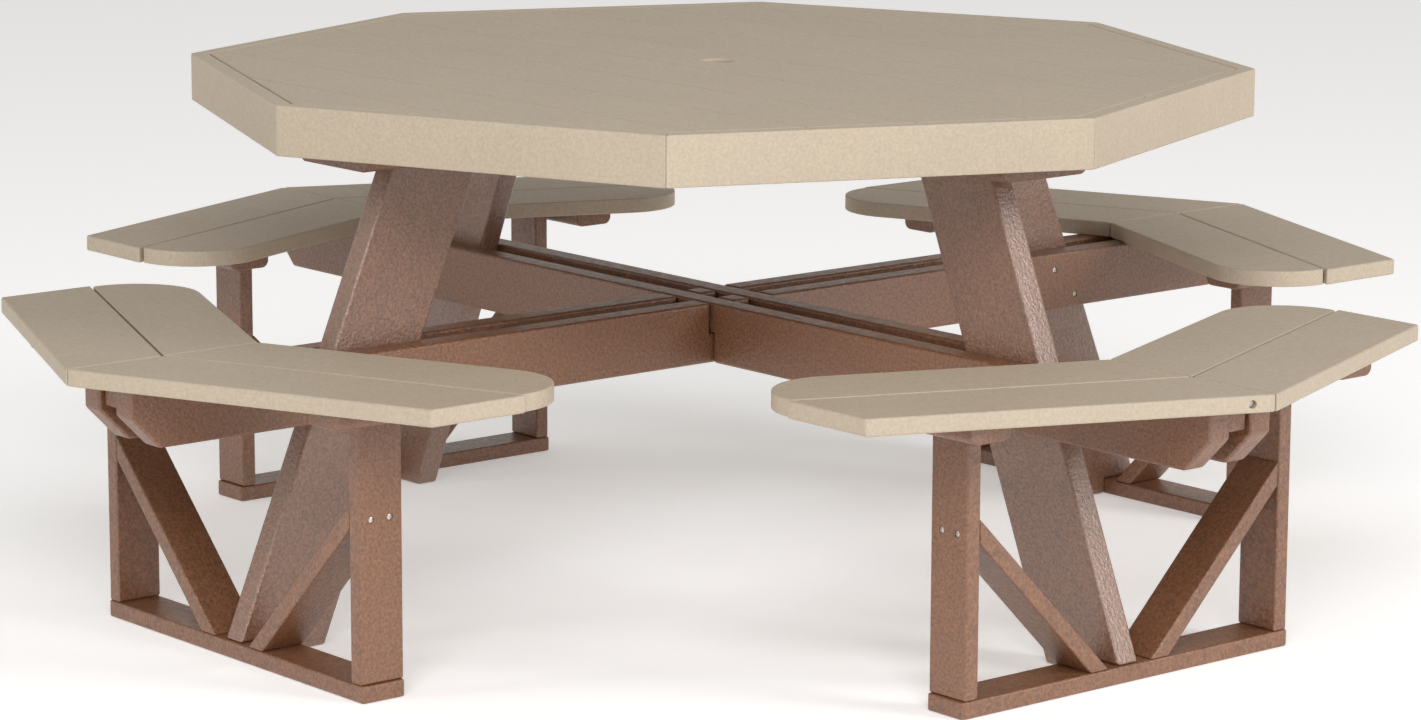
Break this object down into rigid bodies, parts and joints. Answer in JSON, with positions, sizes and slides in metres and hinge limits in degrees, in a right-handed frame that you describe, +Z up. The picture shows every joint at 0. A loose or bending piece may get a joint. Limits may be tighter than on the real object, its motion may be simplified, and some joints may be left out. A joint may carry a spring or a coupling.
{
  "type": "picnic table",
  "caption": "Octagonal outdoor picnic table with angled benches fixed to its crossed-beam frame.",
  "frame": {"origin": "on the ground under the middle of the table", "axes": "+Z up; +X along one arm, to the middle of one bench, and along the top boards; +Y along the next arm"},
  "size_m": [2.255, 2.255, 0.762],
  "materials": {
    "board": "mottled beige plastic lumber, satin, fine grain",
    "frame": "mottled red-brown plastic lumber, satin, fine grain"
  },
  "bodies": {
    "root": {"top_board_01": "board", "top_board_02": "board", "top_board_03": "board", "top_board_04": "board", "top_board_05": "board", "top_board_06": "board", "top_board_07": "board", "top_board_08": "board", "top_board_09": "board", "top_board_10": "board", "top_board_11": "board", "apron_1": "board", "apron_2": "board", "apron_3": "board", "apron_4": "board", "apron_5": "board", "apron_6": "board", "apron_7": "board", "apron_8": "board", "batten_1": "frame", "batten_2": "frame", "batten_3": "frame", "rail_x": "frame", "rail_y": "frame", "beam_x_1": "frame", "beam_x_2": "frame", "beam_y_1": "frame", "beam_y_2": "frame", "east_leg": "frame", "east_sill": "frame", "east_left_post": "frame", "east_left_brace": "frame", "east_left_seat": "board", "east_right_post": "frame", "east_right_brace": "frame", "east_right_seat": "board", "north_leg": "frame", "north_sill": "frame", "north_left_post": "frame", "north_left_brace": "frame", "north_left_seat": "board", "north_right_post": "frame", "north_right_brace": "frame", "north_right_seat": "board", "west_leg": "frame", "west_sill": "frame", "west_left_post": "frame", "west_left_brace": "frame", "west_left_seat": "board", "west_right_post": "frame", "west_right_brace": "frame", "west_right_seat": "board", "south_leg": "frame", "south_sill": "frame", "south_left_post": "frame", "south_left_brace": "frame", "south_left_seat": "board", "south_right_post": "frame", "south_right_brace": "frame", "south_right_seat": "board"}
  },
  "joints": []
}
